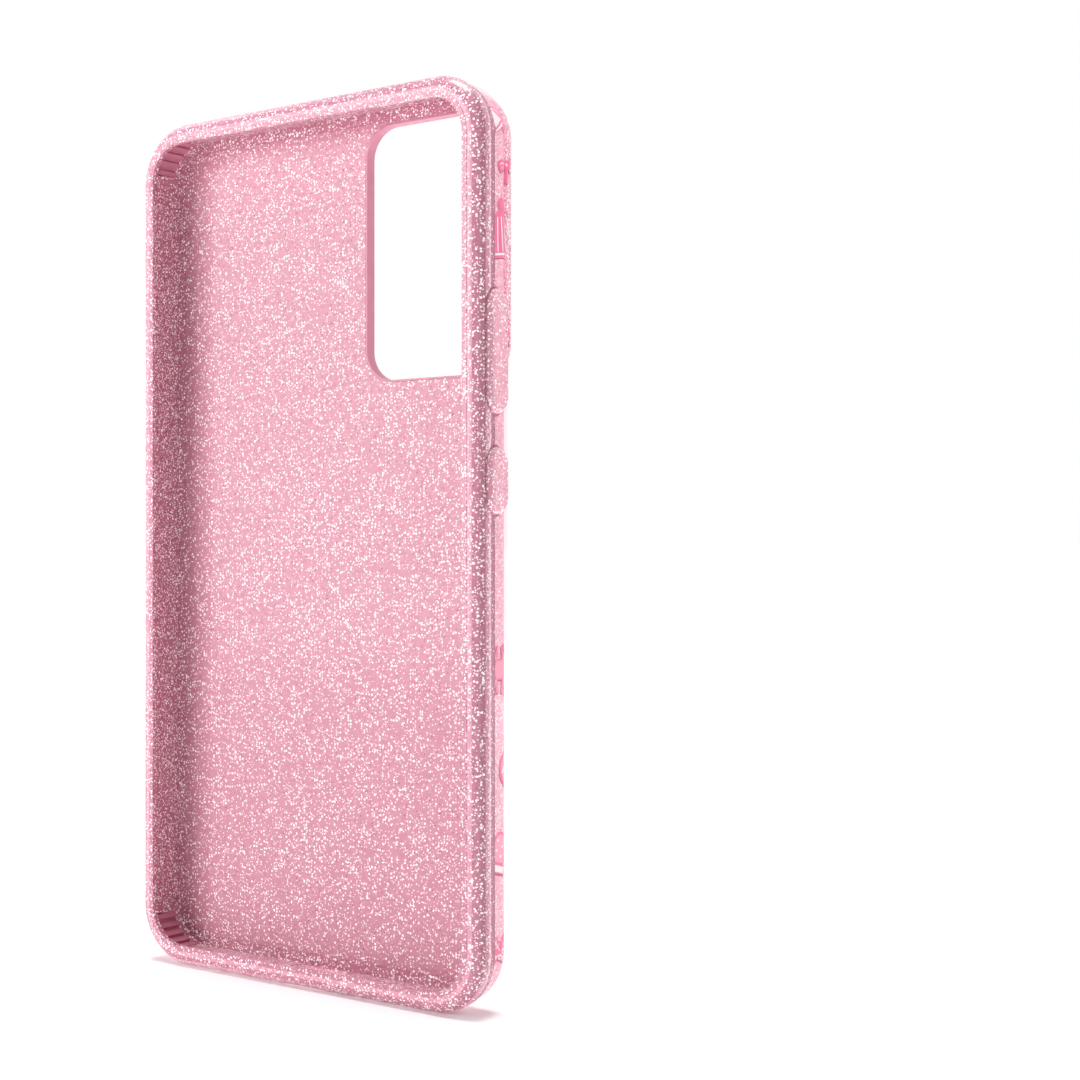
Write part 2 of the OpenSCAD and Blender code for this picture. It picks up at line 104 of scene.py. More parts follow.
class Nodes:
    """Short calls for building one material's node tree."""

    def __init__(self, name):
        self.material = bpy.data.materials.new(name)
        self.material.use_nodes = True
        self.tree = self.material.node_tree
        self.tree.nodes.clear()
        self.out = self.tree.nodes.new("ShaderNodeOutputMaterial")
        self.place = self.add("ShaderNodeTexCoord").outputs["Object"]

    def add(self, kind, **settings):
        node = self.tree.nodes.new(kind)
        for key, value in settings.items():
            setattr(node, key, value)
        return node

    def set(self, socket, value):
        if isinstance(value, bpy.types.NodeSocket):
            self.tree.links.new(value, socket)
        else:
            socket.default_value = value

    def math(self, operation, a, b=0.0, clamp=False):
        node = self.add("ShaderNodeMath", operation=operation, use_clamp=clamp)
        self.set(node.inputs[0], a)
        self.set(node.inputs[1], b)
        return node.outputs[0]

    def ramp(self, value, low, high, to_low=0.0, to_high=1.0):
        """value from low to high, smoothly mapped to to_low to to_high"""
        node = self.add("ShaderNodeMapRange", interpolation_type="SMOOTHSTEP", clamp=True)
        sockets = ("Value", "From Min", "From Max", "To Min", "To Max")
        for name, v in zip(sockets, (value, low, high, to_low, to_high)):
            self.set(node.inputs[name], v)
        return node.outputs["Result"]

    def mix(self, share, a, b):
        node = self.add("ShaderNodeMix", data_type="RGBA")
        self.set(node.inputs["Factor"], share)
        for socket, v in ((node.inputs[6], a), (node.inputs[7], b)):
            self.set(socket, (*v, 1.0) if isinstance(v, tuple) else v)
        return node.outputs[2]

    def noise(self, size, detail=2.0):
        """Soft noise whose lumps are about size metres across"""
        node = self.add("ShaderNodeTexNoise")
        self.set(node.inputs["Vector"], self.place)
        node.inputs["Scale"].default_value = 1 / size
        node.inputs["Detail"].default_value = detail
        return node.outputs["Fac"]

    def flakes(self, cell, share, radius):
        """Round flakes, one to a cell at most: their mask, then three random numbers for each, apart and
        as one colour. share is the share of cells with a flake, and radius is a part of the cell's size."""
        node = self.add("ShaderNodeTexVoronoi", feature="F1", voronoi_dimensions="3D")
        self.set(node.inputs["Vector"], self.place)
        node.inputs["Scale"].default_value = 1 / cell
        chance = self.add("ShaderNodeSeparateColor")
        self.set(chance.inputs[0], node.outputs["Color"])
        near = self.ramp(node.outputs["Distance"], radius, radius * 0.8)
        chosen = self.math("LESS_THAN", chance.outputs[0], share)
        return self.math("MULTIPLY", near, chosen), chance.outputs, node.outputs["Color"]

    def axes(self):
        """The place's three coordinates, by name"""
        node = self.add("ShaderNodeSeparateXYZ")
        self.set(node.inputs[0], self.place)
        return node.outputs

    def past_axes(self, axes):
        """Distance out from the outline's corner axes"""
        m = self.math
        across = m("MAXIMUM", m("SUBTRACT", m("ABSOLUTE", axes["X"]), AXIS_X))
        along = m("MAXIMUM", m("SUBTRACT", m("ABSOLUTE", m("SUBTRACT", axes["Z"], MID_Z)), AXIS_Z1 - MID_Z))
        return m("SQRT", m("ADD", m("POWER", across, 2.0), m("POWER", along, 2.0)))

    def frame_zones(self):
        """Shares, 0 to 1, of the frame's lip step, of the shade before the crest, of the crest, of the groove
        behind it, of what the clear shell covers, and of the outer face towards the side without keys: the
        places where the frame gets painted shade, a painted highlight and painted glow. The shade, the
        highlight and the groove are painted weaker towards the side without keys"""
        m, axes = self.math, self.axes()
        y, out = axes["Y"], self.past_axes(axes)
        face = m("GREATER_THAN", out, U_SIDE - FACE_IN)
        key_side = self.ramp(axes["X"], -0.8 * AXIS_X, 0.8 * AXIS_X, 0.22, 1.0)
        plain = m("MULTIPLY", face, m("SUBTRACT", 1.0, key_side))
        face = m("MULTIPLY", face, key_side)
        behind = m("MULTIPLY", face, self.ramp(y, GROOVE_Y0, GROOVE_Y0 + 0.35 * MM))
        covered = m("MULTIPLY", m("GREATER_THAN", out, U_SIDE - BAY_IN), m("GREATER_THAN", y, Y_SKIRT))
        ahead = self.ramp(y, SHADE_Y0 - 0.4 * MM, SHADE_Y0)
        crest = self.ramp(y, RIDGE_Y0 - 0.15 * MM, RIDGE_Y0 + 0.1 * MM)
        shade = m("MULTIPLY", face, m("SUBTRACT", ahead, crest, clamp=True))
        crest = m("SUBTRACT", m("MULTIPLY", face, crest), behind, clamp=True)
        # The lip step's wall, which gets a painted glow
        step = m("MULTIPLY", m("LESS_THAN", y, Y_FRONT + 0.3 * MM), m("GREATER_THAN", y, Y_FRONT + 0.03 * MM))
        step = m("MULTIPLY", step, m("GREATER_THAN", out, U_SIDE - LIP_IN))
        return step, shade, crest, m("SUBTRACT", behind, covered, clamp=True), covered, plain

    def shader(self, **inputs):
        node = self.add("ShaderNodeBsdfPrincipled")
        for key, value in inputs.items():
            self.set(node.inputs[key.replace("_", " ")], value)
        return node

    def finish(self, shader):
        self.tree.links.new(shader, self.out.inputs["Surface"])
        return self.material


def glitter(
    name, base, deep, big=0.64, small=0.48, roughness=0.38, coat=0.5, painted_lift=0.0, zones=False, painted_key_shade=False
):
    """Clear pink plastic full of white glitter: two sizes of flake, each tilted its own way, and a few dark
    ones. big and small are the shares of cells that hold a flake, and lift is a painted glow, even over the
    material; each white flake also gets a painted glow. zones gives the frame's outer face painted shade, a
    painted highlight and more painted glow by its relief, and the film's colour under the clear shell and
    towards the side without keys, and rounded paints shade on a key's front."""
    n = Nodes(name)
    big_mask, big_chance, big_tilt = n.flakes(BIG_CELL, big, 0.37)
    small_mask, small_chance, _ = n.flakes(SMALL_CELL, small, 0.40)
    dark_mask, _, _ = n.flakes(DARK_CELL, DARK_SHARE, 0.33)
    white = n.math("MAXIMUM", big_mask, n.math("MULTIPLY", small_mask, 0.85), clamp=True)
    if zones:
        step, shade, crest, hollow, covered, plain = n.frame_zones()
        # Fewer white flakes in the groove behind the crest, part of its painted shade
        white = n.math("MULTIPLY", white, n.math("SUBTRACT", 1.0, n.math("MULTIPLY", hollow, 0.45)))
    cloud = n.ramp(n.noise(1.1 * MM, 3.0), 0.35, 0.68)
    patch = n.ramp(n.noise(9 * MM), 0.3, 0.7, 0.0, 0.35)
    plastic = n.mix(n.math("MULTIPLY", cloud, 0.45), base, deep)
    plastic = n.mix(patch, plastic, tuple(c * 0.93 for c in base))
    if zones:
        # The outer face towards the side without keys takes the film's colour
        plastic = n.mix(plain, plastic, FILM)
        # Painted shade before the crest and in the groove behind it, and a painted highlight on the crest
        for zone, share, tone in ((shade, 0.30, PAINTED_SHADE), (crest, 0.60, PAINTED_CREST_LIGHT), (hollow, 0.85, PAINTED_SHADE)):
            plastic = n.mix(n.math("MULTIPLY", zone, share), plastic, tone)
        plastic = n.mix(covered, plastic, n.mix(n.math("MULTIPLY", cloud, 0.45), FILM, FILM_DEEP))
    # Painted shade on a key's front, fading out towards its back
    if painted_key_shade:
        plastic = n.mix(n.ramp(n.axes()["Y"], *KEY_SHADE_Y, 0.55, 0.0), plastic, PAINTED_SHADE)
    flake = n.mix(big_chance[1], (1.0, 0.93, 0.95), (1.0, 0.80, 0.86))
    colour = n.mix(white, plastic, flake)
    colour = n.mix(n.math("MULTIPLY", dark_mask, 0.75), colour, (0.38, 0.05, 0.10))

    # Each flake's normal leans its own way
    normal = n.add("ShaderNodeNewGeometry").outputs["Normal"]
    centred = n.add("ShaderNodeVectorMath", operation="SUBTRACT")
    n.set(centred.inputs[0], big_tilt)
    centred.inputs[1].default_value = (0.5, 0.5, 0.5)
    lean = n.add("ShaderNodeVectorMath", operation="SCALE")
    n.set(lean.inputs[0], centred.outputs[0])
    n.set(lean.inputs["Scale"], n.math("MULTIPLY", white, 0.9))
    tilted = n.add("ShaderNodeVectorMath", operation="ADD")
    n.set(tilted.inputs[0], normal)
    n.set(tilted.inputs[1], lean.outputs[0])
    unit = n.add("ShaderNodeVectorMath", operation="NORMALIZE")
    n.set(unit.inputs[0], tilted.outputs[0])

    # Painted glow, where no lamp is: more where the clear shell covers the frame, on the crest, on the lip
    # step and towards the side without keys, and a random amount on each white flake
    if zones:
        for zone, share in ((covered, 0.13), (crest, 0.04), (step, 0.22), (plain, 0.06)):
            painted_lift = n.math("ADD", painted_lift, n.math("MULTIPLY", zone, share))
    glow = n.math("MULTIPLY", white, n.ramp(small_chance[2], 0.2, 1.0, 0.08, 0.38))
    glow = n.math("MAXIMUM", glow, painted_lift)
    p = n.shader(
        Base_Color=colour,
        Roughness=n.ramp(white, 0.0, 1.0, roughness, 0.24),
        Normal=unit.outputs[0],
        Coat_Weight=coat,
        Coat_Roughness=0.09,
        Emission_Color=n.mix(white, (1.0, 0.60, 0.70), (1.0, 0.95, 0.97)),
        Emission_Strength=glow,
    )
    return n.finish(p.outputs[0])


def satin(name, base, deep, roughness=0.5):
    """Plain soft plastic with a faint clouding and the fine grain of a moulding"""
    n = Nodes(name)
    cloud = n.ramp(n.noise(2.5 * MM, 3.0), 0.3, 0.7)
    grain = n.noise(0.12 * MM, 2.0)
    bump = n.add("ShaderNodeBump")
    bump.inputs["Strength"].default_value = 0.12
    bump.inputs["Distance"].default_value = 0.02 * MM
    n.set(bump.inputs["Height"], grain)
    p = n.shader(
        Base_Color=n.mix(n.math("MULTIPLY", cloud, 0.5), base, deep),
        Roughness=n.ramp(grain, 0.3, 0.7, roughness - 0.06, roughness + 0.06),
        Normal=bump.outputs[0],
        Coat_Weight=0.15,
        Coat_Roughness=0.25,
    )
    return n.finish(p.outputs[0])


def ink(name, colour, dark):
    """Printed ink, a little uneven, with the grain of the printing"""
    n = Nodes(name)
    uneven = n.ramp(n.noise(1.6 * MM, 2.0), 0.35, 0.75, 0.0, 0.30)
    speck = n.ramp(n.noise(0.22 * MM, 1.0), 0.62, 0.75, 0.0, 0.35)
    p = n.shader(
        Base_Color=n.mix(n.math("MAXIMUM", uneven, speck), colour, dark),
        Roughness=n.ramp(n.noise(0.3 * MM), 0.3, 0.7, 0.42, 0.55),
        # A faint painted glow in the ink's own colour
        Emission_Color=(*colour, 1.0),
        Emission_Strength=0.12,
    )
    return n.finish(p.outputs[0])


def clear_plastic(name):
    """Clear hard shell: what is under it shows unbent, under a polished, lightly scuffed gloss. Its curved
    back edge gets a painted pink tint, standing in for the pink that the real edge gathers from what it
    covers."""
    n = Nodes(name)
    scuff = n.ramp(n.noise(3.0 * MM, 4.0), 0.45, 0.75, 0.035, 0.10)
    gloss = n.add("ShaderNodeBsdfGlossy")
    gloss.inputs["Color"].default_value = (1.0, 0.98, 0.99, 1.0)
    n.set(gloss.inputs["Roughness"], scuff)
    facing = n.add("ShaderNodeLayerWeight")
    facing.inputs["Blend"].default_value = 0.5
    axes = n.axes()
    through = n.add("ShaderNodeBsdfTransparent")
    # Painted pink tint where the shell curves round the back edge
    bend = n.math(
        "MULTIPLY",
        n.ramp(axes["Y"], Y_ROUND, Y_ROUND + 0.4 * BACK_R),
        n.ramp(n.past_axes(axes), U_ROUND + 0.1 * BACK_R, U_ROUND + 0.5 * BACK_R),
    )
    n.set(through.inputs["Color"], n.mix(bend, (1.0, 0.985, 0.99), (0.99, 0.88, 0.92)))
    edge = n.math("MULTIPLY", n.math("POWER", facing.outputs["Facing"], 5.0), 0.2)
    blend = n.add("ShaderNodeMixShader")
    n.set(blend.inputs[0], n.math("ADD", edge, 0.022))
    n.set(blend.inputs[1], through.outputs[0])
    n.set(blend.inputs[2], gloss.outputs[0])
    # Painted shade: the shell's clear cut front edge is drawn in a dark, mostly opaque pink
    cut_edge = n.math("LESS_THAN", axes["Y"], Y_SKIRT + 0.06 * MM)
    edge_tone = n.shader(Base_Color=(0.52, 0.20, 0.28, 1.0), Roughness=0.45)
    whole = n.add("ShaderNodeMixShader")
    n.set(whole.inputs[0], n.math("MULTIPLY", cut_edge, 0.7))
    n.set(whole.inputs[1], blend.outputs[0])
    n.set(whole.inputs[2], edge_tone.outputs[0])
    return n.finish(whole.outputs[0])


def studio_floor(name):
    """Pale matt floor, very slightly uneven"""
    n = Nodes(name)
    tone = n.ramp(n.noise(120 * MM, 2.0), 0.2, 0.8, 0.0, 1.0)
    p = n.shader(
        Base_Color=n.mix(tone, (0.93, 0.925, 0.93), (0.91, 0.905, 0.91)),
        Roughness=0.7,
        Emission_Color=(1.0, 1.0, 1.0, 1.0),
        Emission_Strength=0.10,
    )
    return n.finish(p.outputs[0])


GLITTER = glitter("glitter_plastic", PINK, PINK_DEEP, coat=0.3, zones=True)
# lift is a painted glow on the rim, keys and film
GLITTER_RIM = glitter("glitter_rim", (0.78, 0.34, 0.44), (0.58, 0.19, 0.28), painted_lift=0.08)
GLITTER_KEY = glitter(
    "glitter_key",
    (0.80, 0.35, 0.45),
    (0.60, 0.20, 0.29),
    big=0.74,
    small=0.62,
    roughness=0.32,
    painted_lift=0.10,
    painted_key_shade=True,
)
GLITTER_FILM = glitter("glitter_film", FILM, FILM_DEEP, big=0.74, small=0.6, coat=0.2, painted_lift=0.13)
GLITTER_BACK = glitter(
    "glitter_inside", (0.62, 0.26, 0.34), (0.50, 0.18, 0.25), big=0.45, small=0.35, roughness=0.5, coat=0.2
)
SOFT_PINK = satin("soft_pink", SOFT, (0.54, 0.19, 0.27))
WEB = satin("web_pink", (0.52, 0.19, 0.27), (0.40, 0.12, 0.19), 0.42)
MARK = satin("mark_pink", (0.56, 0.15, 0.25), (0.49, 0.12, 0.21), 0.35)
CLEAR = clear_plastic("clear_plastic")
# The layers of the print, from the film outwards, the lowest a painted drop shadow of the hot ink: tint and
# line are drawn on the white
INKS = {
    "shadow": ink("painted_print_shadow", MAUVE, (0.26, 0.07, 0.115)),
    "hot": ink("ink_hot", HOT, (0.76, 0.11, 0.22)),
    "pale": ink("ink_pale", PALE, (0.86, 0.29, 0.40)),
    "white": ink("ink_white", WHITE, (0.88, 0.74, 0.78)),
    "tint": ink("ink_tint", PALE, (0.86, 0.29, 0.40)),
    "line": ink("ink_line", HOT, (0.76, 0.11, 0.22)),
}

CAD_FINISH = {
    "bumper_frame": GLITTER,
    "camera_rim": GLITTER_RIM,
    "volume_key": GLITTER_KEY,
    "power_key": GLITTER_KEY,
    "glitter_film": GLITTER_FILM,
    "back_panel": GLITTER_BACK,
    "clear_shell": CLEAR,
    "side_mark": MARK,
}
for name, cad in nodes.items():
    cad.data.materials.clear()
    cad.data.materials.append(CAD_FINISH.get(name, SOFT_PINK))


def add_mesh(name, verts, faces, material):
    """Puts a smooth mesh into the scene and returns its object"""
    mesh = bpy.data.meshes.new(name)
    mesh.from_pydata(verts, [], faces)
    mesh.validate()
    mesh.shade_smooth()
    mesh.materials.append(material)
    piece = bpy.data.objects.new(name, mesh)
    bpy.context.scene.collection.objects.link(piece)
    return piece


# ---- Flat drawing, in units of a motif's height, as its viewer sees it ----


def disc(x, y, r, sides=20, start=0.0):
    step = 2 * math.pi / sides
    return [(x + r * math.cos(start + i * step), y + r * math.sin(start + i * step)) for i in range(sides)]


def stroke(points, wide):
    """Outline of a pen line through points, with square ends"""
    left, right = [], []
    last = len(points) - 1
    for i, (x, y) in enumerate(points):
        (ax, ay), (bx, by) = points[max(i - 1, 0)], points[min(i + 1, last)]
        length = math.hypot(bx - ax, by - ay)
        nx, ny = -(by - ay) / length * wide / 2, (bx - ax) / length * wide / 2
        left.append((x + nx, y + ny))
        right.append((x - nx, y - ny))
    return left + right[::-1]


def arc(x, y, r, from_deg, to_deg, steps=10):
    turn = [math.radians(from_deg + (to_deg - from_deg) * i / steps) for i in range(steps + 1)]
    return [(x + r * math.cos(t), y + r * math.sin(t)) for t in turn]


def turned(outline, degrees, x=0.0, y=0.0):
    c, s = math.cos(math.radians(degrees)), math.sin(math.radians(degrees))
    return [(x + px * c - py * s, y + px * s + py * c) for px, py in outline]


def snowflake():
    drawn = [("hot", disc(0, 0, 0.215, 6)), ("pale", disc(0, 0, 0.175, 6))]
    for k in range(6):
        for layer, wide, tip in (("hot", 0.082, 0.5), ("pale", 0.024, 0.475)):
            drawn.append((layer, turned(stroke([(0.12, 0), (tip, 0)], wide), 60 * k)))
            for out, length in ((0.20, 0.24), (0.355, 0.145)):
                for lean in (-38, 38):
                    twig = turned(stroke([(0, 0), (length - (0.5 - tip), 0)], wide * 0.82), lean, out, 0)
                    drawn.append((layer, turned(twig, 60 * k)))
    return drawn


def jingle_bell():
    drawn = [("hot", disc(0, -0.04, 0.42, 28)), ("hot", stroke(arc(0, 0.42, 0.09, -60, 240), 0.05))]
    for offset in (0.02, 0.13):
        band = [(x, -0.04 + offset + 0.06 * math.cos(x * 4)) for x in (-0.4, -0.25, -0.08, 0.08, 0.25, 0.4)]
        drawn.append(("white", turned(stroke(band, 0.028), 32)))
    drawn.append(("white", turned(stroke([(0, -0.08), (0, -0.30)], 0.03), 20)))
    for x in (-0.12, 0.12):
        drawn.append(("white", turned(disc(x, -0.24, 0.045, 12), 20)))
        drawn.append(("pale", turned(disc(x, -0.24, 0.022, 8), 20)))
    drawn.append(("white", stroke(arc(0, -0.04, 0.33, 95, 118, 4), 0.045)))
    drawn.append(("white", stroke(arc(0, -0.04, 0.33, 125, 135, 3), 0.045)))
    return drawn


def bow(x=0.0, y=0.0, size=1.0):
    """Two loops, a knot and two tails"""
    drawn = []
    for side in (-1, 1):
        loop = [(0, 0), (0.22, 0.20), (0.42, 0.20), (0.47, 0.04), (0.40, -0.10), (0.2, -0.08)]
        tail = [(0, -0.02), (0.10, -0.04), (0.32, -0.42), (0.20, -0.40), (0.13, -0.47)]
        drawn.append(("hot", [(side * px, py) for px, py in loop]))
        drawn.append(("hot", [(side * px, py) for px, py in tail]))
        drawn.append(("white", stroke([(side * 0.14, 0.06), (side * 0.30, 0.12), (side * 0.38, 0.08)], 0.03)))
        fold = [(0.20, 0.03), (0.36, 0.03), (0.34, -0.04), (0.22, -0.03)]
        drawn.append(("pale", [(side * px, py) for px, py in fold]))
    drawn.append(("hot", disc(0, 0, 0.12, 14)))
    drawn.append(("white", disc(-0.02, 0.02, 0.045, 10)))
    return [(layer, [(x + px * size, y + py * size) for px, py in outline]) for layer, outline in drawn]


def bell():
    side = [(0.40, -0.30), (0.34, -0.24), (0.27, -0.10), (0.24, 0.08), (0.17, 0.20), (0.06, 0.26)]
    body = side + [(-x, y) for x, y in side[::-1]]
    inside = [(x * 0.86, -0.035 + y * 0.86) for x, y in body]
    drawn = [("hot", disc(0.03, -0.36, 0.10, 14)), ("hot", body), ("white", inside)]
    drawn.append(("line", stroke([(-0.32, -0.235), (0, -0.20), (0.32, -0.235)], 0.045)))
    drawn.append(("tint", [(0.05, -0.17), (0.22, -0.18), (0.17, 0.05), (0.08, 0.16)]))
    drawn.append(("line", stroke([(-0.20, -0.05), (-0.15, 0.10)], 0.03)))
    return drawn + bow(0, 0.30, 0.62)


def mitten():
    hand = arc(0, 0.18, 0.24, 0, 180, 10) + [(-0.24, -0.24), (0.24, -0.24)]
    thumb = [(0, -0.10), (0.26, -0.08)] + arc(0.26, 0.01, 0.09, -90, 90, 6) + [(0, 0.10)]
    thumb = turned(thumb, 40, 0.18, -0.12)
    cuff = [(-0.29, -0.24), (0.29, -0.24), (0.29, -0.44), (-0.29, -0.44)]
    drawn = [("hot", hand), ("hot", thumb), ("hot", cuff)]
    drawn.append(("pale", [(x * 0.82, y * 0.86) for x, y in hand]))
    drawn.append(("white", [(x * 0.88, -0.34 + (y + 0.34) * 0.66) for x, y in cuff]))
    for x, y in ((-0.10, 0.22), (0.08, 0.12), (-0.10, 0.02), (0.07, -0.08)):
        drawn.append(("white", disc(x, y, 0.034, 8)))
    return drawn


def candy_cane():
    line = [(0.14, -0.5), (0.14, -0.25), (0.14, 0.0), (0.14, 0.20)] + arc(-0.05, 0.22, 0.19, 0, 190, 12)
    drawn = [("hot", stroke(line, 0.19)), ("white", stroke(line, 0.135))]
    for y in (-0.44, -0.26, -0.08, 0.10):
        drawn.append(("line", [(0.075, y - 0.02), (0.205, y + 0.05), (0.205, y + 0.12), (0.075, y + 0.05)]))
    for t in (35, 85, 135, 180):
        piece = arc(-0.05, 0.22, 0.255, t, t + 16, 3) + arc(-0.05, 0.22, 0.125, t + 24, t + 8, 3)
        drawn.append(("line", piece))
    return drawn


def holly():
    half = [(0.0, 0.0), (0.09, 0.09), (0.15, 0.07), (0.21, 0.15), (0.28, 0.11), (0.35, 0.15)]
    half += [(0.40, 0.08), (0.50, 0.0)]
    leaf = half + [(x, -y) for x, y in half[-2:0:-1]]
    drawn = []
    for lean in (20, 90, 160):
        drawn.append(("hot", turned(leaf, lean, 0, -0.12)))
        drawn.append(("white", turned(stroke([(0.08, 0), (0.42, 0)], 0.022), lean, 0, -0.12)))
        for out in (0.18, 0.29):
            for side in (-1, 1):
                vein = stroke([(out, 0), (out + 0.06, side * 0.065)], 0.018)
                drawn.append(("white", turned(vein, lean, 0, -0.12)))
    for x, y in ((-0.08, -0.16), (0.09, -0.15), (0.0, -0.28)):
        drawn.append(("hot", disc(x, y, 0.10, 12)))
        drawn.append(("white", disc(x, y, 0.07, 12)))
        drawn.append(("line", disc(x - 0.01, y - 0.01, 0.035, 8)))
    return drawn


def ornament():
    drawn = [("hot", disc(0, -0.08, 0.38, 28)), ("pale", disc(0, -0.08, 0.325, 28))]
    zigzag = [(x / 10, 0.0 if x % 2 == 0 else -0.10) for x in range(-3, 4)]
    drawn.append(("white", stroke(zigzag, 0.055)))
    drawn.append(("hot", stroke([(x * 0.8, y - 0.15) for x, y in zigzag], 0.04)))
    drawn.append(("hot", [(-0.10, 0.26), (0.10, 0.26), (0.10, 0.38), (-0.10, 0.38)]))
    drawn.append(("white", [(-0.065, 0.295), (0.065, 0.295), (0.065, 0.345), (-0.065, 0.345)]))
    drawn.append(("hot", stroke(arc(0, 0.44, 0.07, -70, 250), 0.04)))
    for x in (-0.12, 0.0, 0.12):
        drawn.append(("white", disc(x, 0.12, 0.03, 8)))
    return drawn


def star():
    def points(big, small):
        ring = []
        for i in range(10):
            r, t = (big if i % 2 == 0 else small), math.radians(90 + 36 * i)
            ring.append((r * math.cos(t), r * math.sin(t)))
        return ring

    return [("hot", points(0.5, 0.22)), ("white", points(0.36, 0.16))]


def lantern():
    """Striped dome shape, wide at the foot"""
    dome = arc(0, 0.02, 0.30, 0, 180, 12) + [(-0.34, -0.42), (0.34, -0.42)]
    drawn = [("hot", dome), ("hot", stroke(arc(0, 0.38, 0.08, -60, 240), 0.045))]
    for x in (-0.18, -0.06, 0.06, 0.18):
        drawn.append(("white", stroke([(x * 0.8, 0.20), (x, -0.05), (x * 1.15, -0.32)], 0.028)))
    drawn.append(("white", stroke([(-0.29, -0.36), (0.29, -0.36)], 0.035)))
    return drawn


def paisley():
    """Curled leaf with a spiral and dots"""
    outline = arc(-0.10, 0.0, 0.30, 60, 300, 16) + [(0.20, -0.22), (0.46, -0.06), (0.5, 0.10), (0.25, 0.14)]
    spiral = []
    for i in range(13):
        r, t = 0.04 + 0.011 * i, 0.6 * i
        spiral.append((-0.10 + r * math.cos(t), r * math.sin(t)))
    drawn = [("hot", outline), ("pale", [(0.02 + x * 0.84, y * 0.80) for x, y in outline])]
    drawn.append(("white", stroke(spiral, 0.04)))
    for i in range(6):
        t = math.radians(100 + 36 * i)
        drawn.append(("white", disc(-0.10 + 0.215 * math.cos(t), 0.215 * math.sin(t), 0.022, 8)))
    return drawn


MOTIFS = {
    f.__name__: f()
    for f in (snowflake, jingle_bell, bow, bell, mitten, candy_cane, holly, ornament, star, lantern, paisley)
}


# ---- Wrapping the print round the back edge ----


def wrap(x, z, radius):
    """A point of the back's plane, drawn on past the back's edge, laid round the edge and down the side"""
    cx, cz = min(max(x, -AXIS_X), AXIS_X), min(max(z, AXIS_Z0), AXIS_Z1)
    dx, dz = x - cx, z - cz
    out = math.hypot(dx, dz)
    past = out - U_ROUND
    if past <= 0:
        return Vector((x, Y_ROUND + radius, z))
    quarter = radius * math.pi / 2
    bend = min(past, quarter) / radius
    u = U_ROUND + radius * math.sin(bend)
    y = Y_ROUND + radius * math.cos(bend) - max(past - quarter, 0)
    return Vector((cx + dx / out * u, y, cz + dz / out * u))


def flat_place(side, y, z):
    """Where a place on the left (-1) or right (1) side, by depth and height, lies in the back's plane"""
    if y >= Y_ROUND:
        bend = math.acos(min((y - Y_ROUND) / PRINT_R, 1))
        past, u = PRINT_R * bend, U_ROUND + PRINT_R * math.sin(bend)
    else:
        past, u = PRINT_R * math.pi / 2 + Y_ROUND - y, U_ROUND + PRINT_R
    cz = min(max(z, AXIS_Z0), AXIS_Z1)
    turn = math.asin((z - cz) / u)
    return side * (AXIS_X + (U_ROUND + past) * math.cos(turn)), cz + (U_ROUND + past) * math.sin(turn)


def inside_limit(x, z, limit):
    """How far a flat point lies inside the outline that is limit past the back's edge"""
    cx, cz = min(max(x, -AXIS_X), AXIS_X), min(max(z, AXIS_Z0), AXIS_Z1)
    return U_ROUND + limit - math.hypot(x - cx, z - cz)


def clipped(outline, depth):
    """The part of a flat outline where depth(point) is positive"""
    kept = []
    for i, b in enumerate(outline):
        a = outline[i - 1]
        da, db = depth(*a), depth(*b)
        if (da > 0) != (db > 0):
            low, high = (a, b) if da > 0 else (b, a)
            for _ in range(24):  # halves the span, down to the crossing
                mid = ((low[0] + high[0]) / 2, (low[1] + high[1]) / 2)
                low, high = (mid, high) if depth(*mid) > 0 else (low, mid)
            kept.append(low)
        if db > 0:
            kept.append(b)
    return kept


SHORT_STEP, LONG_STEP = 0.4 * MM, 8 * MM  # between an outline's points, on the curved edge and elsewhere
EDGE_IN = 0.4 * MM  # the short steps start this far in from the curved edge
GRID_STEP, GRID_IN = 0.42 * MM, 0.3 * MM  # grid of points on the curved edge, and how far in it starts
NO_AREA = 1e-10  # square metres, below which an outline is dropped
CDT_SCALE = 1000  # the triangulation works in millimetres


def fine(outline):
    """Outline with short steps where it lies on the curved edge"""
    done = []
    for i, b in enumerate(outline):
        a = outline[i - 1]
        near = max(-inside_limit(*a, 0), -inside_limit(*b, 0)) > -EDGE_IN
        steps = max(1, math.ceil(math.dist(a, b) / (SHORT_STEP if near else LONG_STEP)))
        for k in range(1, steps + 1):
            done.append((a[0] + (b[0] - a[0]) * k / steps, a[1] + (b[1] - a[1]) * k / steps))
    return done


def area(outline):
    """Area of a flat outline, negative if it runs clockwise"""
    return sum(a[0] * b[1] - b[0] * a[1] for a, b in zip(outline, outline[1:] + outline[:1])) / 2


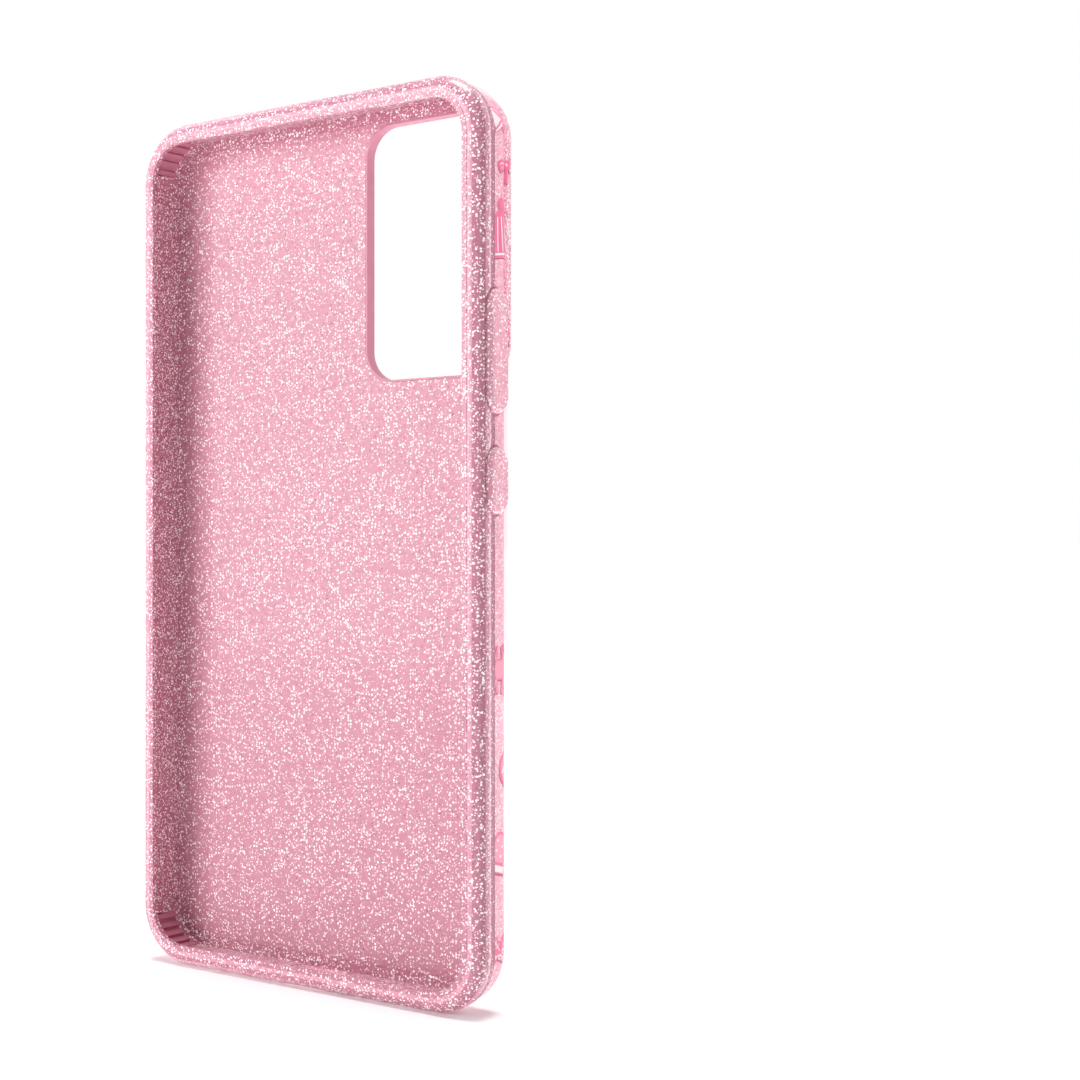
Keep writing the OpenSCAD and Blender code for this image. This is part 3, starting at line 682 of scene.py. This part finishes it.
def printed(name, outlines, place, material):
    """One printed layer: the union of flat outlines, meshed, with each point laid where place(x, z) says"""
    points, faces = [], []
    boxes = []
    for outline in outlines:
        if len(outline) < 3 or abs(area(outline)) < NO_AREA:
            continue
        outline = fine(outline if area(outline) > 0 else outline[::-1])
        faces.append(list(range(len(points), len(points) + len(outline))))
        points += outline
        xs, zs = [p[0] for p in outline], [p[1] for p in outline]
        boxes.append((min(xs), max(xs), min(zs), max(zs)))
    extra = set()
    for x0, x1, z0, z1 in boxes:
        for i in range(math.ceil(x0 / GRID_STEP), math.floor(x1 / GRID_STEP) + 1):
            for k in range(math.ceil(z0 / GRID_STEP), math.floor(z1 / GRID_STEP) + 1):
                if -inside_limit(i * GRID_STEP, k * GRID_STEP, 0) > -GRID_IN:
                    extra.add((i, k))
    points += [(i * GRID_STEP, k * GRID_STEP) for i, k in sorted(extra)]
    flat = [Vector((x * CDT_SCALE, z * CDT_SCALE)) for x, z in points]
    verts, _, tris, *_ = delaunay_2d_cdt(flat, [], faces, 1, 1e-5)
    placed = [place(v.x / CDT_SCALE, v.y / CDT_SCALE) for v in verts]
    return add_mesh(name, placed, [t[::-1] for t in tris], material)


# ---- The motifs' places ----


def on_side(kind, side, y, z, size, turn=0):
    """A motif on the left (-1) or right (1) side: its depth, height and size in mm, and its turn"""
    return (kind, *flat_place(side, y * MM, z * MM), size * MM, turn)


def on_back(kind, x, z, size, turn=0):
    """A motif on the back: its place and size in mm, and its turn"""
    return (kind, x * MM, z * MM, size * MM, turn)


# The plain side and the motifs beside it, then the side with the keys
LAYOUT = [
    on_side("holly", -1, 1.2, 160.9, 6.0, -60),
    on_side("jingle_bell", -1, 2.9, 124.4, 8.6, 10),
    on_back("snowflake", -34.5, 109.5, 11.0, 12),
    on_back("star", -35.0, 96.0, 5.5, 10),
    on_back("mitten", -34.0, 80.0, 9.0, 15),
    on_side("snowflake", -1, 2.0, 54.4, 8.4, 30),
    on_side("snowflake", -1, 3.4, 28.8, 11.4, 0),
    on_side("bell", -1, 2.4, 12.6, 13.0, 10),
    on_side("paisley", -1, 2.1, 2.6, 6.4, -35),
    on_side("bell", 1, 1.2, 155.2, 9.0, 30),
    on_side("bow", 1, 4.3, 147.0, 7.0, 20),
    on_side("lantern", 1, 3.1, 135.6, 11.4, 8),
    on_side("bell", 1, 4.5, 114.6, 12.5, 15),
    on_side("snowflake", 1, 4.9, 99.6, 9.5, -20),
    on_side("snowflake", 1, 1.8, 59.8, 10.0, 0),
    on_side("ornament", 1, 4.6, 43.5, 10.0, 12),
    on_side("mitten", 1, 1.6, 28.4, 8.4, -15),
    on_side("holly", 1, 1.6, 11.6, 8.2, 40),
]


RIM_LO, RIM_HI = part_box("camera_rim")
RIM_R = 9.7 * MM  # outside corner radius of the camera's rim
RIM_FOOT = 3.7 * MM  # depth at which the rim's wall meets the rounded edge
RIM_WALL = 1.7 * MM  # how far the print runs up it
RIM_EDGE = flat_place(1, RIM_FOOT, MID_Z)[0]
RIM_LAP = 0.2 * MM  # how far the back's print runs in under the rim
RIM_CLEAR = 2.5 * MM  # the wall's print starts this far above the rim's lower end

# Rows of motifs on the back, in mm
ROWS, ROW_0, ROW_PITCH = 10, 9.5, 15.6
COLUMNS, COLUMN_0, COLUMN_PITCH = 5, -30, 15.4
WOBBLE, ROWS_REACH = 1.6, 34  # how far a motif strays, and how far from the middle it may lie
ROWS_TURN = 28  # degrees, the most that a motif turns


def back_rows():
    """Fills the back in staggered rows, clear of the camera's rim and of the motifs along the edges"""
    kinds = ["snowflake", "bell", "candy_cane", "ornament", "snowflake"]
    kinds += ["mitten", "holly", "jingle_bell", "star", "bow"]
    sizes = {"snowflake": 14, "bell": 13.5, "candy_cane": 13, "ornament": 12.5, "mitten": 12}
    sizes |= {"holly": 12, "jingle_bell": 10.5, "star": 7, "bow": 10}
    spots, count = [], 0
    for row in range(ROWS):
        z = ROW_0 + row * ROW_PITCH
        for column in range(COLUMNS):
            x = COLUMN_0 + column * COLUMN_PITCH + (COLUMN_PITCH / 2 if row % 2 else 0)
            kind = kinds[(count * 3 + row) % len(kinds)]
            count += 1
            px, pz = x + math.sin(count * 2.4) * WOBBLE, z + math.cos(count * 1.9) * WOBBLE
            size = sizes[kind]
            reach = size * 0.5 * MM
            beside = px * MM + reach < RIM_LO.x or pz * MM + reach < RIM_LO.z
            apart = all(math.dist((px * MM, pz * MM), s[1:3]) > reach + s[3] * 0.5 for s in LAYOUT)
            if beside and apart and abs(px) < ROWS_REACH:
                spots.append(on_back(kind, px, pz, size, math.sin(count * 1.3) * ROWS_TURN))
    return spots


def clear_of_rim(x, z):
    """Positive outside the camera's rim"""
    dx = max(RIM_LO.x + RIM_R - x, x - RIM_EDGE + RIM_R, 0)
    dz = max(RIM_LO.z + RIM_R - z, z - RIM_HI.z + RIM_R, 0)
    return math.hypot(dx, dz) - RIM_R + RIM_LAP


KEY_ROOM, KEYS_Y = 1.2 * MM, 3.65 * MM  # room above and below the keys, and depth of their windows' back
KEYS_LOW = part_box("power_key")[0].z - KEY_ROOM
KEYS_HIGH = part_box("volume_key")[1].z + KEY_ROOM
KEYS_EDGE = flat_place(1, KEYS_Y, (KEYS_LOW + KEYS_HIGH) / 2)[0]


def clear_of_keys(x, z):
    """Positive where the print may lie beside the keys' windows"""
    return KEYS_EDGE - x if KEYS_LOW < z < KEYS_HIGH else 1.0


SHADE_X, SHADE_Z = 0.22 * MM, -0.24 * MM  # how far the hot ink's shade lies off it
layers = {name: [] for name in INKS}
for kind, x0, z0, size, turn in LAYOUT + back_rows():
    for layer, outline in MOTIFS[kind]:
        viewed = turned(outline, turn)
        flat = [(x0 - px * size, z0 + pz * size) for px, pz in viewed]
        # Painted drop shadow: each hot outline again, set off by SHADE_X and SHADE_Z, in the lowest layer
        if layer == "hot":
            layers["shadow"].append([(x + SHADE_X, z + SHADE_Z) for x, z in flat])
        layers[layer].append(flat)


def rim_place(x, z, proud):
    """A flat point past the rim's edge, laid up the rim's outer wall"""
    dz = max(RIM_LO.z + RIM_R - z, z - RIM_HI.z + RIM_R, 0)
    inward = RIM_R - math.sqrt(max(RIM_R**2 - dz**2, 0))
    return Vector((RIM_HI.x - inward + proud, RIM_FOOT + RIM_EDGE - x, z))


def on_rim(x, z):
    """Positive on the strip of the rim's wall that is printed"""
    return min(RIM_EDGE - x, x - RIM_EDGE + RIM_WALL, z - RIM_LO.z - RIM_CLEAR, RIM_HI.z - RIM_R - z)


def add_print(name, outlines, limits, place, layer):
    """Makes one ink's piece from the parts of its outlines inside the limits"""
    cut = []
    for outline in outlines:
        for limit in limits:
            outline = clipped(outline, limit) if len(outline) > 2 else []
        if len(outline) > 2:
            cut.append(outline)
    if not cut:
        return
    piece = printed(name, cut, place, INKS[layer])
    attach(piece, "case")
    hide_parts("print_white" if layer == "white" else "print_pink")


SKIRT_PAST = PRINT_R * math.pi / 2 + Y_ROUND - Y_SKIRT - 0.03 * MM  # from the back's edge to the shell's


def within_skirt(x, z):
    """Positive where the clear shell covers the print"""
    return inside_limit(x, z, SKIRT_PAST)


# Each layer lies a step further out than the one before, on the body and on the rim's wall
INK_DEPTH, INK_STEP = 0.042 * MM, 0.007 * MM
RIM_INK_PROUD, RIM_INK_STEP = 0.012 * MM, 0.006 * MM
for step, layer in enumerate(layers):
    radius = PRINT_R - INK_DEPTH + step * INK_STEP
    proud = RIM_INK_PROUD + step * RIM_INK_STEP
    limits = (within_skirt, clear_of_keys, clear_of_rim)
    add_print("art_" + layer, layers[layer], limits, lambda x, z: wrap(x, z, radius), layer)
    if layer in ("shadow", "hot", "pale", "white"):
        add_print("art_rim_" + layer, layers[layer], (on_rim,), lambda x, z: rim_place(x, z, proud), layer)


# ---- Key webs: a thin U-shaped skin from the window's edge to the pad ----


def web(name, key, back):
    """One half of a key's web, in front of or behind the middle of the side"""
    lo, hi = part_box(key)
    reach, tuck, dip, skin_t = 0.55 * MM, 0.12 * MM, 0.16 * MM, 0.22 * MM  # gap, overlap, sag, thickness
    top = 0.72 * MM  # from the pad's inner face to the web's outer one
    bend, run, across = 16, 12, 8  # steps round each end, along the middle, and from pad to frame
    pad_r = (hi.y - lo.y) / 2
    z0, z1 = lo.z + pad_r, hi.z - pad_r
    y_sign = 1 if back else -1
    spine = [(z0, math.radians(-90 + 90 * i / bend)) for i in range(bend + 1)]
    spine += [(z0 + (z1 - z0) * i / run, 0.0) for i in range(1, run)]
    spine += [(z1, math.radians(90 * i / bend)) for i in range(bend + 1)]
    section = []
    for i in range(across + 1):
        share = i / across
        section.append((pad_r - tuck + share * (reach + 2 * tuck), top - math.sin(math.pi * share) * dip))
    x0 = lo.x
    section += [(u, x - skin_t) for u, x in section[::-1]]
    verts = []
    for z, t in spine:
        for u, x in section:
            verts.append((x0 + x, y_sign * u * math.cos(t), z + u * math.sin(t)))
    n, faces = len(section), []
    for i in range(len(spine) - 1):
        for k in range(n):
            a, b = i * n + k, i * n + (k + 1) % n
            quad = (a, b, b + n, a + n)
            faces.append(quad if back else quad[::-1])
    ends = (list(range(n)), [(len(spine) - 1) * n + k for k in range(n)])
    faces.append(tuple(ends[0][::-1] if back else ends[0]))
    faces.append(tuple(ends[1] if back else ends[1][::-1]))
    piece = add_mesh(name, verts, faces, WEB)
    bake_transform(piece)
    return piece


for key, body in (("volume", "volume_rocker"), ("power", "power_button")):
    for back in (False, True):
        skin = web(f"{key}_web_{'back' if back else 'front'}", key + "_key", back)
        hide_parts(key + "_web")


# ---- Small domes on the panel's inner face, which hold it off the phone ----


EIGHT = [(math.cos(math.pi * k / 4), math.sin(math.pi * k / 4)) for k in range(8)]


def inner_dots():
    """Eight-sided domes in staggered rows over the panel, clear of its edge and of the camera opening"""
    panel_lo, panel_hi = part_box("back_panel")
    liner_lo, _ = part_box("camera_liner")
    pitch, r, high = 1.9 * MM, 0.34 * MM, 0.07 * MM
    edge, clear = 2.0 * MM, 1.2 * MM  # free of domes along the panel's edge and beside the camera opening
    y = panel_lo.y
    verts, faces = [], []
    rows = int((panel_hi.z - panel_lo.z) / (pitch * math.sqrt(3) / 2)) - 1
    columns = int((panel_hi.x - panel_lo.x) / pitch) - 1
    for row in range(rows):
        for column in range(columns):
            x = (column - (columns - 1) / 2 + (0.5 if row % 2 else 0)) * pitch
            z = MID_Z + (row - (rows - 1) / 2) * pitch * math.sqrt(3) / 2
            if inside_limit(x, z, -edge) < 0:
                continue
            if x > liner_lo.x - clear and z > liner_lo.z - clear:
                continue
            first = len(verts)
            for wide, up in ((1.0, 0.0), (0.72, 0.6)):
                verts += [(x + r * wide * c, y - high * up, z + r * wide * s) for c, s in EIGHT]
            verts.append((x, y - high, z))
            for k in range(8):
                j = (k + 1) % 8
                faces.append((first + k, first + j, first + 8 + j, first + 8 + k))
                faces.append((first + 8 + k, first + 8 + j, first + 16))
    piece = add_mesh("inner_dots", verts, faces, GLITTER_BACK)
    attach(piece, "case")


inner_dots()


# ---- Studio ----


def stage_floor():
    """Plain floor at the case's foot, wide enough to fill every view"""
    half = 40.0
    corners = [(-half, -half, 0), (half, -half, 0), (half, half, 0), (-half, half, 0)]
    floor = add_mesh("floor", corners, [(0, 1, 2, 3)], studio_floor("studio_floor"))


def softbox(name, azimuth, height, distance, wide, tall, watts, mirrored=True):
    """Area light on a circle round the case, facing its middle, which glossy surfaces mirror or not"""
    lamp = bpy.data.lights.new(name, "AREA")
    lamp.shape, lamp.size, lamp.size_y = "RECTANGLE", wide, tall
    lamp.energy = watts
    holder = bpy.data.objects.new(name, lamp)
    holder.visible_glossy = mirrored
    a = math.radians(azimuth)
    holder.location = (distance * math.sin(a), -distance * math.cos(a), height)
    aim = Vector((0, 0, MID_Z)) - Vector(holder.location)
    holder.rotation_euler = aim.to_track_quat("-Z", "Y").to_euler()
    bpy.context.scene.collection.objects.link(holder)


def overhead(strength, spread):
    """Broad soft light from straight above"""
    lamp = bpy.data.lights.new("overhead", "SUN")
    lamp.energy, lamp.angle = strength, math.radians(spread)
    holder = bpy.data.objects.new("overhead", lamp)
    bpy.context.scene.collection.objects.link(holder)


stage_floor()
overhead(3.2, 30)
# Azimuth in degrees from the front towards the keys, height, distance, width and height in metres, watts
softbox("key_front", -30, 0.26, 0.95, 0.5, 0.9, 7.9)
softbox("key_back", 215, 0.30, 0.95, 0.6, 0.9, 1.2, mirrored=False)
softbox("strip_right", 156, 0.12, 0.80, 0.30, 0.9, 7.0, mirrored=False)
softbox("strip_left", -105, 0.12, 0.80, 0.5, 0.9, 2.2)

world = bpy.data.worlds.new("studio_air")
bpy.context.scene.world = world
world.use_nodes = True
# The air is white to the camera and in gloss, and lights nothing else
air = world.node_tree.nodes["Background"]
air.inputs["Color"].default_value = (1.0, 1.0, 1.0, 1.0)
air.inputs["Strength"].default_value = 1.0
world.cycles_visibility.diffuse = False
world.cycles_visibility.transmission = False
bpy.context.scene.view_settings.view_transform = "Standard"

# ---- Camera ----

# The photograph's view, solved from the case's outline
VIEW_TURN = math.radians(39.24)
VIEW_DISTANCE = 345.4 * MM
lens = bpy.data.cameras.new("camera")
lens.sensor_width, lens.lens = 36.0, 62.3
lens.shift_x, lens.shift_y = 0.2086, 0.0041
lens.clip_start, lens.clip_end = 0.01, 200
camera = bpy.data.objects.new("camera", lens)
camera.location = (VIEW_DISTANCE * math.sin(VIEW_TURN), -VIEW_DISTANCE * math.cos(VIEW_TURN), MID_Z)
camera.rotation_euler = (math.pi / 2, 0, VIEW_TURN)
bpy.context.scene.collection.objects.link(camera)
bpy.context.scene.camera = camera
